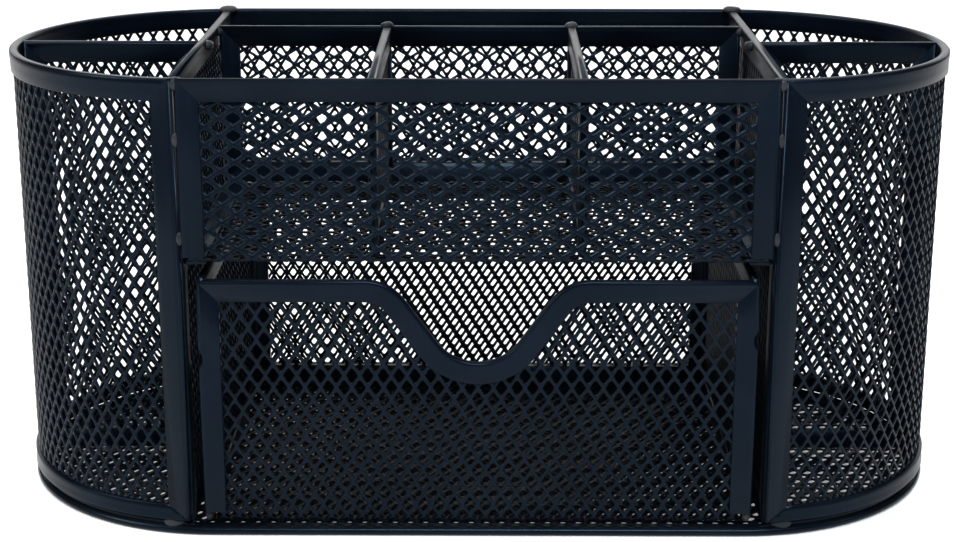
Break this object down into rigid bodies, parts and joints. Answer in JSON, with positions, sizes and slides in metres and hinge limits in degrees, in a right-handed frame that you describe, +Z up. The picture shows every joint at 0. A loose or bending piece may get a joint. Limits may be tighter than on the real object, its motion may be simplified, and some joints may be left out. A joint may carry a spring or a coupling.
{
  "type": "desk organizer",
  "caption": "Stadium-shaped wire mesh desk organizer with upright end compartments, a divided upper tray with a back slot, and a pull-out drawer with a scooped front.",
  "frame": {"origin": "centre of the base, on the surface it stands on", "axes": "+Z up, +X to the right along the length, -Y the way the drawer pulls out"},
  "size_m": [0.2202, 0.1, 0.1064],
  "materials": {
    "mesh_steel": "satin black powder coat on expanded steel sheet",
    "channel_steel": "satin black powder coat on folded steel channel",
    "weld_steel": "painted spot welds and hooks, a little lighter where the coat is thin"
  },
  "bodies": {
    "housing": {"back_divider_frame": "channel_steel", "back_divider_mesh": "mesh_steel", "base_mesh": "mesh_steel", "base_ring": "channel_steel", "divider_hooks": "weld_steel", "end_divider_left_frame": "channel_steel", "end_divider_left_mesh": "mesh_steel", "end_divider_right_frame": "channel_steel", "end_divider_right_mesh": "mesh_steel", "foot_welds": "weld_steel", "front_panel_frame": "channel_steel", "front_weld_tabs": "weld_steel", "rim_hook_left": "weld_steel", "rim_hook_right": "weld_steel", "side_panel_left_frame": "channel_steel", "side_panel_left_mesh": "mesh_steel", "side_panel_right_frame": "channel_steel", "side_panel_right_mesh": "mesh_steel", "tray_divider_left_frame": "channel_steel", "tray_divider_left_mesh": "mesh_steel", "tray_divider_right_frame": "channel_steel", "tray_divider_right_mesh": "mesh_steel", "tray_floor_frame": "channel_steel", "tray_mesh": "mesh_steel", "wall_bottom_channel": "channel_steel", "wall_mesh": "mesh_steel", "wall_post_left": "channel_steel", "wall_post_right": "channel_steel", "wall_top_channel": "channel_steel"},
    "drawer": {"drawer_back_frame": "channel_steel", "drawer_back_mesh": "mesh_steel", "drawer_front_frame": "channel_steel", "drawer_mesh": "mesh_steel", "drawer_side_left_frame": "channel_steel", "drawer_side_left_mesh": "mesh_steel", "drawer_side_right_frame": "channel_steel", "drawer_side_right_mesh": "mesh_steel", "drawer_welds": "weld_steel"}
  },
  "joints": [
    {"name": "drawer_slide", "type": "slide", "parent": "housing", "child": "drawer", "axis": [0, -1, 0], "range_m": [0, 0.09]}
  ]
}
